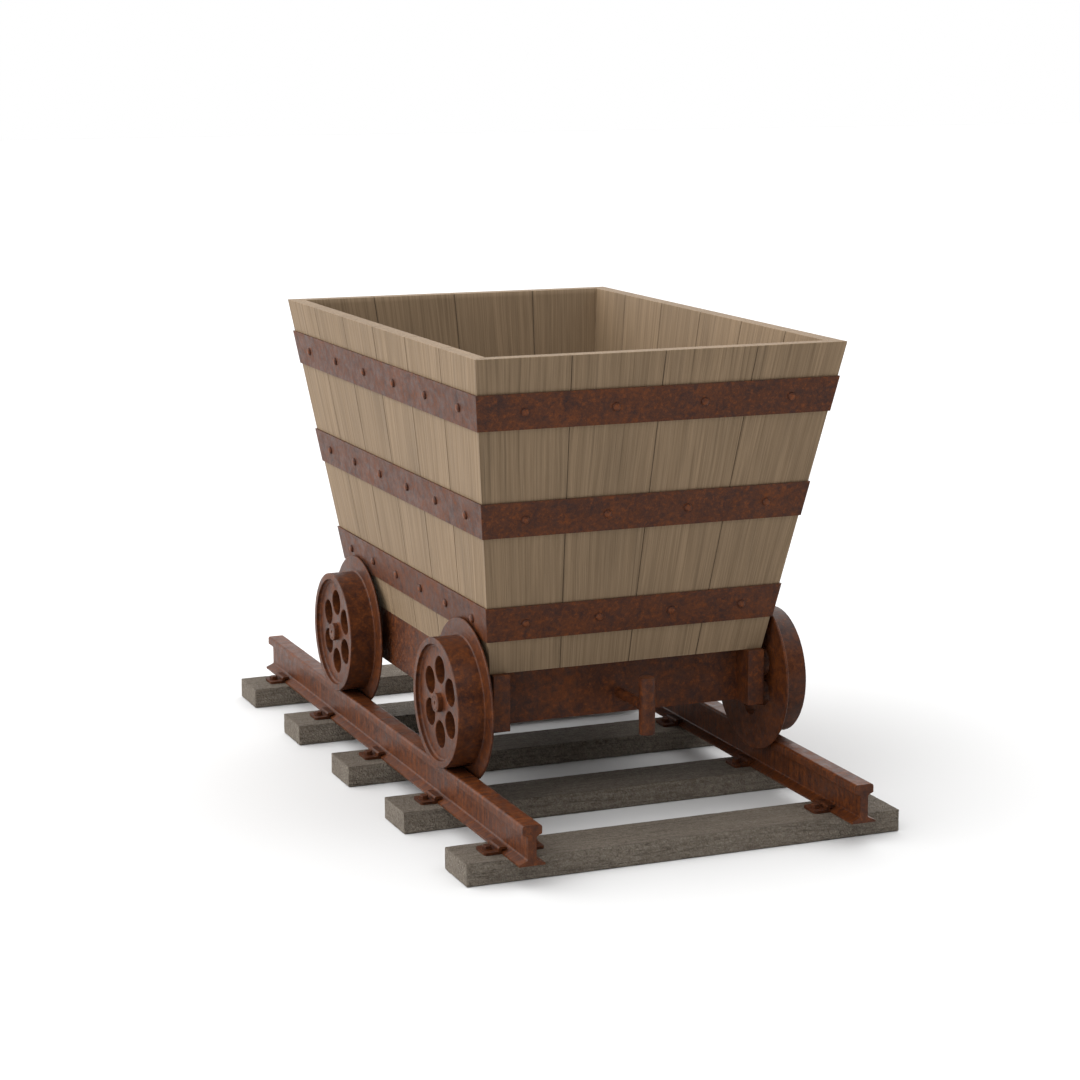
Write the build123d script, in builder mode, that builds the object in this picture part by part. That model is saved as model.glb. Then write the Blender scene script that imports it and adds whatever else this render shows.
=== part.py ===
from build123d import *
import math
import os

# A wooden mine cart on its own short length of track.
# Frame: +X is the cart's right side, the track runs along Y, the cart's front faces -Y, +Z is up.
# The origin is on the ground under the middle of the track.  All sizes are in millimetres.

# ---------------------------------------------------------------- track
gauge = 610.0                # between the inner faces of the two rail heads
rail_length = 1526.0
rail_height = 72.5
head_width = 36.5
head_side = 11.0             # upright part of the head below its round corners
head_corner = 5.0
head_slope = 4.5             # rise of the head's underside from the web outwards
web_width = 15.5
foot_width = 48.5
foot_edge = 3.5
foot_rise = 7.0              # rise of the foot from its edge to the web
web_fillet = 4.0

sleeper_overhang = 102.25    # from the middle of a rail to the sleeper's end
sleeper_width = 110.0
sleeper_height = 41.5
sleeper_count = 5
sleeper_pitch = 325.0
sleeper_shift = -9.0         # the row of sleepers sits a little towards the front
sleeper_round = 1.5

clip_gap = 0.5               # between the rail foot and the clip's base
clip_length = 32.0           # base, across the rail
clip_width = 46.0            # base, along the rail
clip_base = 5.0
clip_arm = 6.0               # upstand beside the rail foot
clip_height = 13.0
clip_slope = 2.5             # chamfer along the clip's two upper edges
clip_reach = 10.0            # how far the toe reaches over the rail foot
clip_corner = 6.0
toe_clear = 0.4              # above the rail foot

screw_radius = 5.0
screw_depth = 30.0           # in the sleeper
screw_flats = 15.0
screw_head = 6.0
screw_washer_radius = 9.5
screw_washer = 1.5
screw_chamfer = 1.0

# ---------------------------------------------------------------- tub
tub_top_width = 720.0
tub_top_length = 1098.0
tub_bottom_length = 789.0
tub_height = 596.0
tub_rise = 64.7              # from the middle line of the axles to the tub's bottom edge
wall = 30.0                  # measured level, so it is the same on all four walls
side_planks = 6
end_planks = 4
seam = 1.4                   # chamfer along each plank edge
floor_thickness = 25.0
floor_boards = 4

band_names = ("bottom", "middle", "top")
band_margin = 97.25          # from the tub's base or rim to the middle of the next band
band_width = 66.0            # measured upright
band_thickness = 3.5         # measured level
rivet_radius = 4.0
rivet_depth = 20.0           # in the wood
rivet_head_radius = 8.0
rivet_head = 4.5

# ---------------------------------------------------------------- underframe
cart_centre = -47.0          # along the track, from the track's middle
sill_thickness = 33.0
sill_overhang = 15.0         # past the tub's bottom edge, at each end
sill_below = 17.75           # under the bores for the bushes
sill_inset = 1.0             # sill's outer face behind the tub's bottom edge
sill_round = 1.5
headstock_thickness = 12.0
headstock_setback = 53.0     # from the sill's end
bracket_leg = 58.0
bracket_thickness = 6.0
bracket_clear = 3.0          # above the bushes and below the tub
bracket_bolts = (18.0, 44.0)  # from the bracket's outer corner
bearer_height = 84.0
bearer_flange = 52.0
bearer_bolt_spacing = 44.0
bolt_radius = 4.0
bolt_grip = 9.0              # in the sill or the headstock
bolt_flats = 13.0
bolt_head = 5.5
bolt_chamfer = 0.9
floor_screw_radius = 4.0
floor_screw_grip = 18.0      # in the floor board
floor_screw_edge = 28.0      # from the board's edge, or from the bearer's end tab

# ---------------------------------------------------------------- wheels and axles
rear_setback = 106.0         # from the sill's rear end to the rear axle
nut_clear = 3.0              # between the front axle and the end of the drawbar's thread
tread_radius = 121.0
flange_radius = 153.0
flange_play = 5.0            # between the root of the flange and the rail head
flange_clear = 3.0           # between the top of the flange and the tub's lowest band
wheel_width = 57.5
flange_edge = 4.5            # flange thickness at its rim
flange_root = 5.5            # from the wheel's back to the start of the tread
flange_round = 2.0           # on both edges of the flange's rim
flange_fillet = 3.0          # between the flange and the tread
tread_round = 1.5
rim_thickness = 12.5
rim_round = 1.0
recess_depth = 9.3
recess_fillet = 4.5
web_hole_count = 6
web_hole_radius = 25.5
web_hole_circle = 61.0
web_hole_chamfer = 1.0
rail_clearance = 0.3         # tread above the rail head
seat_radius = 18.0           # the wheel's seat on the axle
journal_step = 1.0           # the journal's radius over the seat's
middle_step = 2.0            # the middle's radius over the journal's
running_clearance = 0.05     # journal in its bush, radial
end_clearance = 0.5          # between a wheel's boss and its bush
bush_wall = 5.0
bush_flange = 5.0
bush_flange_radius = 32.0
boss_radius = 29.0
axle_proud = 1.6             # axle end past the wheel's outer face
axle_chamfer = 1.5
centre_hole_radius = 1.8
centre_hole_depth = 9.0
centre_cone_radius = 3.8
groove_radius = 12.8         # a turned ring on the axle's end face
groove_width = 1.2
groove_depth = 0.7

# ---------------------------------------------------------------- hitches
post_radius = 15.0
pin_radius = 14.75           # the post's upper end, turned to take the eye of a link
pin_clear = 2.0              # from the drawbar up to the turned end
post_height = 107.0
post_below = 48.0            # from the drawbar's middle line to the foot of the post
post_reach = 68.5            # from the sill's end to the middle of the post
post_chamfer = 1.0
post_socket = 16.0           # depth of the drawbar in the post
drawbar_radius = 10.0
drawbar_rise = 36.0          # from the headstock's lower edge to the drawbar's middle line
drawbar_thread_radius = 8.0
drawbar_nut = 7.0
drawbar_nut_flats = 24.0
drawbar_tail = 0.5           # end of the thread past the nut

# ---------------------------------------------------------------- worked out from the above
rail_centre = (gauge + head_width) / 2
rail_top = sleeper_height + rail_height
sleeper_length = 2 * (rail_centre + sleeper_overhang)
sleeper_places = [
    sleeper_shift + sleeper_pitch * (i - (sleeper_count - 1) / 2) for i in range(sleeper_count)
]
clip_start = foot_width / 2 + clip_gap               # from the rail's middle
clip_end = clip_start + clip_length
clip_toe = foot_width / 2 - clip_reach
foot_slope = foot_rise / (foot_width / 2 - web_width / 2)
toe_level = foot_edge + foot_slope * clip_reach + toe_clear
screw_out = (clip_start + clip_arm + clip_end) / 2

journal_radius = seat_radius + journal_step
middle_radius = journal_radius + middle_step
bush_bore = journal_radius + running_clearance
bush_radius = bush_bore + bush_wall
axle_level = rail_top + rail_clearance + tread_radius
wheel_back = gauge / 2 - flange_play - flange_root
wheel_face = wheel_back + wheel_width
axle_end = wheel_face + axle_proud

# The tub is as wide at its base as the flanges allow: at the height of the flanges' tops its
# lowest band stands flange_clear inside the wheels' backs.
tub_base = axle_level + tub_rise
tub_top = tub_base + tub_height
flange_share = (flange_radius - tub_rise) / tub_height
room_at_flange = wheel_back - flange_clear - band_thickness
tub_bottom_width = 2 * (room_at_flange - tub_top_width / 2 * flange_share) / (1 - flange_share)
side_slope = (tub_top_width - tub_bottom_width) / 2 / tub_height
end_slope = (tub_top_length - tub_bottom_length) / 2 / tub_height
floor_top = tub_base + floor_thickness
band_pitch = (tub_height - 2 * band_margin) / (len(band_names) - 1)
band_levels = {
    name: tub_base + band_margin + band_pitch * i for i, name in enumerate(band_names)
}

sill_outer = tub_bottom_width / 2 - sill_inset
sill_inner = sill_outer - sill_thickness
sill_length = tub_bottom_length + 2 * sill_overhang
sill_base = axle_level - bush_radius - sill_below
sill_height = tub_base - sill_base
sill_middle = tub_base - sill_height / 2
middle_end = sill_inner - end_clearance
boss_face = sill_outer + bush_flange + end_clearance
headstock_face = sill_length / 2 - headstock_setback  # outer face, from the cart's middle
headstock_back = headstock_face - headstock_thickness
bearer_base = tub_base - bearer_height
bearer_span = sill_inner - bracket_thickness         # from its middle to its end tabs
bearer_bolt_level = tub_base - (bearer_height + bracket_thickness) / 2
bracket_base = axle_level + bush_radius + bracket_clear
bracket_top = tub_base - bracket_clear
bracket_middle = (bracket_base + bracket_top) / 2
bolt_length = bracket_thickness + bolt_grip

thread_end = headstock_back - drawbar_nut - drawbar_tail
axle_places = {
    "front": cart_centre - thread_end + nut_clear + middle_radius,
    "rear": cart_centre + sill_length / 2 - rear_setback,
}
post_place = sill_length / 2 + post_reach             # from the cart's middle
drawbar_end = post_place - post_radius + post_socket
drawbar_level = sill_base + drawbar_rise
post_base = drawbar_level - post_below
pin_base = drawbar_level + drawbar_radius + pin_clear
post_top = post_base + post_height

sides = {"left": -1, "right": 1}
ends = {"front": -1, "rear": 1}
same = 0.01                  # two sizes this near each other count as the same

os.makedirs("parts", exist_ok=True)


def save(builder, name):
    """Label a finished sub-part and write it to its own STEP file."""
    builder.part.label = name
    export_step(builder.part, f"parts/{name}.step")


def drill(places, radius, depth):
    """Round holes from each place's plane down into the part."""
    with Locations(*places):
        Cylinder(
            radius, depth, align=(Align.CENTER, Align.CENTER, Align.MAX), mode=Mode.SUBTRACT
        )


# ================================================================ track


def rail_outline(side):
    """The rail's section seen along Y: head, web and foot, right half then left half."""
    head_base = rail_height - head_corner - head_side
    half = [
        (head_width / 2, rail_height),
        (head_width / 2, head_base),
        (web_width / 2, head_base - head_slope),
        (web_width / 2, foot_edge + foot_rise),
        (foot_width / 2, foot_edge),
        (foot_width / 2, 0),
    ]
    whole = half + [(-x, z) for x, z in reversed(half)]
    return [(side * rail_centre + x, sleeper_height + z) for x, z in whole]


for side_name, side in sides.items():
    with BuildPart() as rail:
        with BuildSketch(Plane.XZ):
            with BuildLine():
                Polyline(*rail_outline(side), close=True)
            make_face()
        extrude(amount=rail_length / 2, both=True)
        long_edges = rail.edges().filter_by(Axis.Y)
        head_edges = long_edges.group_by(Axis.Z)[-1]
        fillet(head_edges, head_corner)
        web_edges = rail.edges().filter_by(Axis.Y).filter_by(
            lambda edge: abs(abs(edge.center().X - side * rail_centre) - web_width / 2) < same
        )
        fillet(web_edges, web_fillet)
    save(rail, f"rail_{side_name}")

for index, place in enumerate(sleeper_places, start=1):
    screw_holes = [
        (side * rail_centre + way * screw_out, place) for side in (-1, 1) for way in (-1, 1)
    ]
    with BuildPart() as sleeper:
        with BuildSketch(Plane.XY):
            with Locations((0, place)):
                Rectangle(sleeper_length, sleeper_width)
        extrude(amount=sleeper_height)
        fillet(sleeper.edges(), sleeper_round)
        with BuildSketch(Plane.XY.offset(sleeper_height)):
            with Locations(*screw_holes):
                Circle(screw_radius)
        extrude(amount=-screw_depth, mode=Mode.SUBTRACT)
    save(sleeper, f"sleeper_{index}")

# One clip beside a rail whose middle is at x = 0, on the rail's +X side, standing at z = 0.
with BuildPart() as clip:
    with BuildSketch(Plane.XY) as base_plan:
        with Locations((clip_start + clip_length / 2, 0)):
            Rectangle(clip_length, clip_width)
        outer_corners = base_plan.vertices().group_by(Axis.X)[-1]
        fillet(outer_corners, clip_corner)
    extrude(amount=clip_base)
    with BuildSketch(Plane.XZ):
        with BuildLine():
            Polyline(
                (clip_start + clip_arm, clip_base),
                (clip_start + clip_arm, clip_height - clip_slope),
                (clip_start + clip_arm - clip_slope, clip_height),
                (clip_toe + clip_slope, clip_height),
                (clip_toe, clip_height - clip_slope),
                (clip_toe, toe_level),
                (clip_start, toe_level),
                (clip_start, clip_base),
                close=True,
            )
        make_face()
    extrude(amount=clip_width / 2, both=True)
    with Locations((screw_out, 0, clip_base)):
        Hole(screw_radius)

# One coach screw, its washer face at z = 0.
with BuildPart() as screw:
    with BuildSketch(Plane.XY):
        Circle(screw_washer_radius)
    extrude(amount=screw_washer)
    with BuildSketch(Plane.XY.offset(screw_washer)):
        RegularPolygon(screw_flats / 2, 6, major_radius=False)
    extrude(amount=screw_head)
    with BuildSketch(Plane.XY):
        Circle(screw_radius)
    extrude(amount=-(clip_base + screw_depth))
    chamfer(screw.edges().group_by(Axis.Z)[-1], screw_chamfer)

clip_places = []
screw_places = []
for place in sleeper_places:
    for side in (-1, 1):
        for way, turn in ((1, 0), (-1, 180)):
            rail_middle = side * rail_centre
            clip_places.append(Location((rail_middle, place, sleeper_height), (0, 0, turn)))
            screw_places.append(
                Location((rail_middle + way * screw_out, place, sleeper_height + clip_base))
            )

with BuildPart() as rail_clips:
    with Locations(*clip_places):
        add(clip.part)
save(rail_clips, "rail_clips")

with BuildPart() as clip_screws:
    with Locations(*screw_places):
        add(screw.part)
save(clip_screws, "clip_screws")

# ================================================================ tub

# Each wall is the front wall turned about the tub's middle by this many degrees.
wall_turns = {"front": 0, "right": 90, "rear": 180, "left": 270}


def is_end(wall_name):
    return wall_name in ends


def wall_slope(wall_name):
    return end_slope if is_end(wall_name) else side_slope


def wall_reach(wall_name, level):
    """From the tub's middle to the wall's outer face, at this height above the ground."""
    width, length = tub_bottom_width / 2, tub_bottom_length / 2
    rise = level - tub_base
    return length + end_slope * rise if is_end(wall_name) else width + side_slope * rise


def wall_half_run(wall_name, level):
    """Half the wall's outer width at this height."""
    neighbour = "right" if is_end(wall_name) else "front"
    return wall_reach(neighbour, level)


def wall_plane(wall_name, level):
    """A level plane at this height, with its X along the wall and its -Y out of the wall."""
    turn = math.radians(wall_turns[wall_name])
    return Plane(
        origin=(0, cart_centre, level), x_dir=(math.cos(turn), math.sin(turn), 0), z_dir=(0, 0, 1)
    )


def plank_outline(wall_name, index, count, level):
    """A plank's level section: mitred at the tub's corners, chamfered along its seams."""
    reach = wall_reach(wall_name, level)
    half_run = wall_half_run(wall_name, level)
    start = -half_run + 2 * half_run * index / count
    end = -half_run + 2 * half_run * (index + 1) / count
    if index == 0:
        left = [(start + wall, -reach + wall), (start, -reach)]
    else:
        left = [
            (start + seam, -reach + wall),
            (start, -reach + wall - seam),
            (start, -reach + seam),
            (start + seam, -reach),
        ]
    if index == count - 1:
        right = [(end, -reach), (end - wall, -reach + wall)]
    else:
        right = [
            (end - seam, -reach),
            (end, -reach + seam),
            (end, -reach + wall - seam),
            (end - seam, -reach + wall),
        ]
    return left + right


def face_plane(wall_name, along, level, proud=0.0):
    """A plane on the wall's outer face, its Z straight out of the sloping wall."""
    base = wall_plane(wall_name, level)
    slope = wall_slope(wall_name)
    outward = (base.y_dir * -1 - Vector(0, 0, slope)).normalized()
    on_face = base.from_local_coords(Vector(along, -wall_reach(wall_name, level), 0))
    return Plane(origin=on_face + outward * proud, x_dir=base.x_dir, z_dir=outward)


def plank_middle(wall_name, index, count, level):
    """Where the plank's middle line is along the wall, at this height."""
    half_run = wall_half_run(wall_name, level)
    return -half_run + 2 * half_run * (index + 0.5) / count


def plank_count(wall_name):
    return end_planks if is_end(wall_name) else side_planks


def band_proud(wall_name):
    """How far a band stands out of the wall, square to it."""
    return band_thickness / math.hypot(1, wall_slope(wall_name))


rivet_places = []
for wall_name in wall_turns:
    count = plank_count(wall_name)
    kind = "plank" if is_end(wall_name) else "side_plank"
    for index in range(count):
        nails = []
        for level in band_levels.values():
            along = plank_middle(wall_name, index, count, level)
            nails.append(face_plane(wall_name, along, level))
            rivet_places.append(face_plane(wall_name, along, level, band_proud(wall_name)))
        with BuildPart() as plank:
            for level in (tub_base, tub_top):
                with BuildSketch(wall_plane(wall_name, level)):
                    with BuildLine():
                        Polyline(*plank_outline(wall_name, index, count, level), close=True)
                    make_face()
            loft(ruled=True)
            drill(nails, rivet_radius, rivet_depth)
        save(plank, f"{wall_name}_{kind}_{index + 1}")

floor_screw_places = []
for index in range(floor_boards):
    with BuildPart() as board:
        for level in (tub_base, floor_top):
            half_length = wall_reach("front", level) - wall
            half_width = wall_reach("right", level) - wall
            left, right = [half_width * (2 * i / floor_boards - 1) for i in (index, index + 1)]
            gap_left = 0 if index == 0 else seam / 2
            gap_right = 0 if index == floor_boards - 1 else seam / 2
            with BuildSketch(Plane.XY.offset(level)):
                with BuildLine():
                    Polyline(
                        (left + gap_left, cart_centre - half_length),
                        (right - gap_right, cart_centre - half_length),
                        (right - gap_right, cart_centre + half_length),
                        (left + gap_left, cart_centre + half_length),
                        close=True,
                    )
                make_face()
        loft(ruled=True)
        row = [
            (max(left, -bearer_span) + floor_screw_edge, cart_centre + bearer_flange / 2),
            (min(right, bearer_span) - floor_screw_edge, cart_centre + bearer_flange / 2),
        ]
        floor_screw_places += row
        with BuildSketch(Plane.XY.offset(tub_base)):
            with Locations(*row):
                Circle(floor_screw_radius)
        extrude(amount=floor_screw_grip, mode=Mode.SUBTRACT)
    save(board, f"floor_board_{index + 1}")

# The bands are sloping rings of flat iron, drilled for a rivet at the middle of each plank.
for band_name, band_middle in band_levels.items():
    with BuildPart() as band:
        for grow, mode in ((band_thickness, Mode.ADD), (0.0, Mode.SUBTRACT)):
            rings = []
            for level in (band_middle - band_width / 2, band_middle + band_width / 2):
                with BuildSketch(wall_plane("front", level), mode=Mode.PRIVATE) as ring:
                    Rectangle(
                        2 * (wall_reach("right", level) + grow),
                        2 * (wall_reach("front", level) + grow),
                    )
                rings.append(ring.sketch.faces()[0])
            loft(rings, ruled=True, mode=mode)
        upright = band.edges().filter_by(lambda edge: abs(edge.tangent_at(0.5).Z) > 0.5)
        outer = wall_reach("right", band_middle) + band_thickness / 2
        fillet(upright.filter_by(lambda edge: abs(edge.center().X) > outer), band_thickness / 2)
        drill(rivet_places, rivet_radius, rivet_depth)
    save(band, f"band_{band_name}")


def dome(radius, height):
    """A domed head's outline from its edge at (radius, 0) to its top at (0, height)."""
    sphere = (radius**2 + height**2) / (2 * height)
    half_angle = math.asin(radius / sphere) / 2
    middle = (sphere * math.sin(half_angle), height - sphere + sphere * math.cos(half_angle))
    return ThreePointArc((radius, 0), middle, (0, height))


# One rivet, the underside of its head at z = 0.  Its shank ends short of the hole in the wood.
with BuildPart() as rivet:
    with BuildSketch(Plane.XZ):
        with BuildLine():
            dome(rivet_head_radius, rivet_head)
            Polyline(
                (0, rivet_head),
                (0, -rivet_depth - band_thickness / 2),
                (rivet_radius, -rivet_depth - band_thickness / 2),
                (rivet_radius, 0),
                (rivet_head_radius, 0),
            )
        make_face()
    revolve(axis=Axis.Z)

with BuildPart() as band_rivets:
    with Locations(*rivet_places):
        add(rivet.part)
save(band_rivets, "band_rivets")

# ================================================================ underframe


def end_plane(end, out, level):
    """An upright plane across the cart, facing its front or rear end, its Y straight up."""
    return Plane(
        origin=(0, cart_centre + end * out, level), x_dir=(-end, 0, 0), z_dir=(0, end, 0)
    )


def side_plane(side, out, place, level):
    """An upright plane along the cart, facing its left or right side, its Y straight up."""
    return Plane(origin=(side * out, place, level), x_dir=(0, side, 0), z_dir=(side, 0, 0))


# Every hexagon bolt: the plane under its head, facing the way the head stands out.
headstock_bolts = {end: [] for end in ends.values()}
sill_bolts = {side: [] for side in sides.values()}
for end in ends.values():
    for side in sides.values():
        for offset in bracket_bolts:
            across = Plane(
                origin=(
                    side * (sill_inner - offset),
                    cart_centre + end * (headstock_back - bracket_thickness),
                    bracket_middle,
                ),
                z_dir=(0, -end, 0),
            )
            along = Plane(
                origin=(
                    side * (sill_inner - bracket_thickness),
                    cart_centre + end * (headstock_back - offset),
                    bracket_middle,
                ),
                z_dir=(-side, 0, 0),
            )
            headstock_bolts[end].append(across)
            sill_bolts[side].append(along)
for side in sides.values():
    for way in (-1, 1):
        sill_bolts[side].append(
            Plane(
                origin=(
                    side * (sill_inner - bracket_thickness),
                    cart_centre + bearer_flange / 2,
                    bearer_bolt_level + way * bearer_bolt_spacing / 2,
                ),
                z_dir=(-side, 0, 0),
            )
        )
all_bolts = sum([*headstock_bolts.values(), *sill_bolts.values()], [])


for side_name, side in sides.items():
    with BuildPart() as sill:
        with BuildSketch(side_plane(side, sill_inner, cart_centre, sill_middle)):
            Rectangle(sill_length, sill_height)
        extrude(amount=sill_thickness)
        fillet(sill.edges(), sill_round)
        drill(sill_bolts[side], bolt_radius, bolt_length)
        for place in axle_places.values():
            with BuildSketch(side_plane(side, sill_inner, place, axle_level)):
                Circle(bush_radius)
            extrude(amount=sill_thickness, mode=Mode.SUBTRACT)
    save(sill, f"sill_{side_name}")

for end_name, end in ends.items():
    with BuildPart() as headstock:
        with BuildSketch(end_plane(end, headstock_back, sill_middle)):
            Rectangle(2 * sill_inner, sill_height)
        extrude(amount=headstock_thickness)
        drill(headstock_bolts[end], bolt_radius, bolt_length)
        with BuildSketch(end_plane(end, headstock_back, drawbar_level)):
            Circle(drawbar_thread_radius)
        extrude(amount=headstock_thickness, mode=Mode.SUBTRACT)
    save(headstock, f"headstock_{end_name}")

with BuildPart() as corner_brackets:
    for end in ends.values():
        for side in sides.values():
            corner_x, corner_y = side * sill_inner, cart_centre + end * headstock_back
            with BuildSketch(Plane.XY.offset(bracket_base)):
                with BuildLine():
                    Polyline(
                        (corner_x, corner_y),
                        (corner_x - side * bracket_leg, corner_y),
                        (corner_x - side * bracket_leg, corner_y - end * bracket_thickness),
                        (corner_x - side * bracket_thickness, corner_y - end * bracket_thickness),
                        (corner_x - side * bracket_thickness, corner_y - end * bracket_leg),
                        (corner_x, corner_y - end * bracket_leg),
                        close=True,
                    )
                make_face()
            extrude(amount=bracket_top - bracket_base)
    drill(all_bolts, bolt_radius, bolt_length)
save(corner_brackets, "corner_brackets")

# An angle iron across the middle, its flange under the floor and its ends bent to the sills.
bearer_front = cart_centre - bracket_thickness / 2
with BuildPart() as cross_bearer:
    with BuildSketch(Plane.XY.offset(bearer_base)):
        with BuildLine():
            Polyline(
                (-sill_inner, bearer_front + bearer_flange),
                (-sill_inner, bearer_front),
                (sill_inner, bearer_front),
                (sill_inner, bearer_front + bearer_flange),
                (bearer_span, bearer_front + bearer_flange),
                (bearer_span, bearer_front + bracket_thickness),
                (-bearer_span, bearer_front + bracket_thickness),
                (-bearer_span, bearer_front + bearer_flange),
                close=True,
            )
        make_face()
    extrude(amount=bearer_height)
    with BuildSketch(Plane.XY.offset(tub_base)):
        with Locations((0, bearer_front + bearer_flange / 2)):
            Rectangle(2 * sill_inner, bearer_flange)
    extrude(amount=-bracket_thickness)
    drill(all_bolts, bolt_radius, bolt_length)
    with Locations(*[(x, y, tub_base) for x, y in floor_screw_places]):
        Hole(floor_screw_radius)
save(cross_bearer, "cross_bearer")


def hex_screw(flats, head, radius, length):
    """A hexagon-headed screw, the underside of its head at z = 0 and its shank below."""
    with BuildPart() as whole:
        with BuildSketch(Plane.XY):
            RegularPolygon(flats / 2, 6, major_radius=False)
        extrude(amount=head)
        chamfer(whole.edges().group_by(Axis.Z)[-1], bolt_chamfer)
        with BuildSketch(Plane.XY):
            Circle(radius)
        extrude(amount=-length)
    return whole.part


frame_bolt = hex_screw(bolt_flats, bolt_head, bolt_radius, bolt_length)
with BuildPart() as frame_bolts:
    with Locations(*all_bolts):
        add(frame_bolt)
save(frame_bolts, "frame_bolts")

floor_screw = hex_screw(
    bolt_flats, bolt_head, floor_screw_radius, bracket_thickness + floor_screw_grip
)
with BuildPart() as floor_screws:
    with Locations(
        *[Plane(origin=(x, y, tub_base - bracket_thickness), z_dir=(0, 0, -1))
          for x, y in floor_screw_places]
    ):
        add(floor_screw)
save(floor_screws, "floor_screws")

# ================================================================ wheels and axles


def axle_plane(place):
    """The upright plane through an axle: X along the axle, Y up from its middle line."""
    return Plane(origin=(0, place, axle_level), x_dir=(1, 0, 0), z_dir=(0, -1, 0))


def turned_edges(edges, out, radius):
    """The round edges at this distance from the cart's middle plane, with this radius."""
    return edges.filter_by(
        lambda edge: abs(abs(edge.center().X) - out) < same and abs(edge.radius - radius) < same
    )


for end_name, place in axle_places.items():
    with BuildPart() as axle:
        with BuildSketch(axle_plane(place)):
            with BuildLine():
                Polyline(
                    (0, 0),
                    (0, middle_radius),
                    (middle_end, middle_radius),
                    (middle_end, journal_radius),
                    (boss_face, journal_radius),
                    (boss_face, seat_radius),
                    (axle_end - axle_chamfer, seat_radius),
                    (axle_end, seat_radius - axle_chamfer),
                    (axle_end, groove_radius + groove_width / 2),
                    (axle_end - groove_depth, groove_radius + groove_width / 2),
                    (axle_end - groove_depth, groove_radius - groove_width / 2),
                    (axle_end, groove_radius - groove_width / 2),
                    (axle_end, centre_cone_radius),
                    (axle_end - centre_cone_radius, centre_hole_radius),
                    (axle_end - centre_hole_depth, centre_hole_radius),
                    (axle_end - centre_hole_depth, 0),
                    close=True,
                )
            make_face()
        revolve(axis=Axis((0, place, axle_level), (1, 0, 0)))
        mirror(about=Plane.YZ)
    save(axle, f"axle_{end_name}")

    for side_name, side in sides.items():
        with BuildPart() as bush:
            for start, radius, length in (
                (sill_inner, bush_radius, sill_thickness),
                (sill_outer, bush_flange_radius, bush_flange),
            ):
                with BuildSketch(side_plane(side, start, place, axle_level)):
                    Circle(radius)
                    Circle(bush_bore, mode=Mode.SUBTRACT)
                extrude(amount=length)
        save(bush, f"bush_{end_name}_{side_name}")

        with BuildPart() as wheel:
            with BuildSketch(axle_plane(place)):
                with BuildLine():
                    Polyline(
                        (side * boss_face, seat_radius),
                        (side * boss_face, boss_radius),
                        (side * wheel_back, boss_radius),
                        (side * wheel_back, flange_radius),
                        (side * (wheel_back + flange_edge), flange_radius),
                        (side * (wheel_back + flange_root), tread_radius),
                        (side * wheel_face, tread_radius),
                        (side * wheel_face, tread_radius - rim_thickness),
                        (side * (wheel_face - recess_depth), tread_radius - rim_thickness),
                        (side * (wheel_face - recess_depth), seat_radius),
                        close=True,
                    )
                make_face()
            revolve(axis=Axis((0, place, axle_level), (1, 0, 0)))
            round_edges = wheel.edges().filter_by(GeomType.CIRCLE)
            for out, radius, rounding in (
                (wheel_back, flange_radius, flange_round),
                (wheel_back + flange_edge, flange_radius, flange_round),
                (wheel_back + flange_root, tread_radius, flange_fillet),
                (wheel_face, tread_radius, tread_round),
                (wheel_face, tread_radius - rim_thickness, rim_round),
                (wheel_face - recess_depth, tread_radius - rim_thickness, recess_fillet),
            ):
                fillet(turned_edges(round_edges, out, radius), rounding)
            with BuildSketch(side_plane(side, wheel_back, place, axle_level)):
                with PolarLocations(web_hole_circle, web_hole_count, start_angle=90):
                    Circle(web_hole_radius)
            extrude(amount=wheel_width, mode=Mode.SUBTRACT)
            hole_edges = wheel.edges().filter_by(GeomType.CIRCLE).filter_by(
                lambda edge: abs(edge.radius - web_hole_radius) < same
            )
            chamfer(hole_edges, web_hole_chamfer)
        save(wheel, f"wheel_{end_name}_{side_name}")

# ================================================================ hitches

for end_name, end in ends.items():
    with BuildPart() as post:
        for start, top, radius in (
            (post_base, pin_base, post_radius),
            (pin_base, post_top, pin_radius),
        ):
            with BuildSketch(Plane.XY.offset(start)):
                with Locations((0, cart_centre + end * post_place)):
                    Circle(radius)
            extrude(amount=top - start)
        rims = post.edges().filter_by(GeomType.CIRCLE).group_by(Axis.Z)
        chamfer(rims[0] + rims[-1], post_chamfer)
        with BuildSketch(end_plane(end, headstock_face, drawbar_level)):
            Circle(drawbar_radius)
        extrude(amount=drawbar_end - headstock_face, mode=Mode.SUBTRACT)
    save(post, f"hitch_post_{end_name}")

    with BuildPart() as drawbar:
        with BuildSketch(end_plane(end, headstock_face, drawbar_level)):
            Circle(drawbar_radius)
        extrude(amount=drawbar_end - headstock_face)
        with BuildSketch(end_plane(end, headstock_face, drawbar_level)):
            Circle(drawbar_thread_radius)
        extrude(amount=thread_end - headstock_face)
    save(drawbar, f"drawbar_{end_name}")

with BuildPart() as drawbar_nuts:
    for end in ends.values():
        with BuildSketch(end_plane(end, headstock_back, drawbar_level)):
            RegularPolygon(drawbar_nut_flats / 2, 6, major_radius=False)
            Circle(drawbar_thread_radius, mode=Mode.SUBTRACT)
        extrude(amount=-drawbar_nut)
save(drawbar_nuts, "drawbar_nuts")
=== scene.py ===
import math

import bpy
import numpy as np
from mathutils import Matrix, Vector, noise


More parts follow.
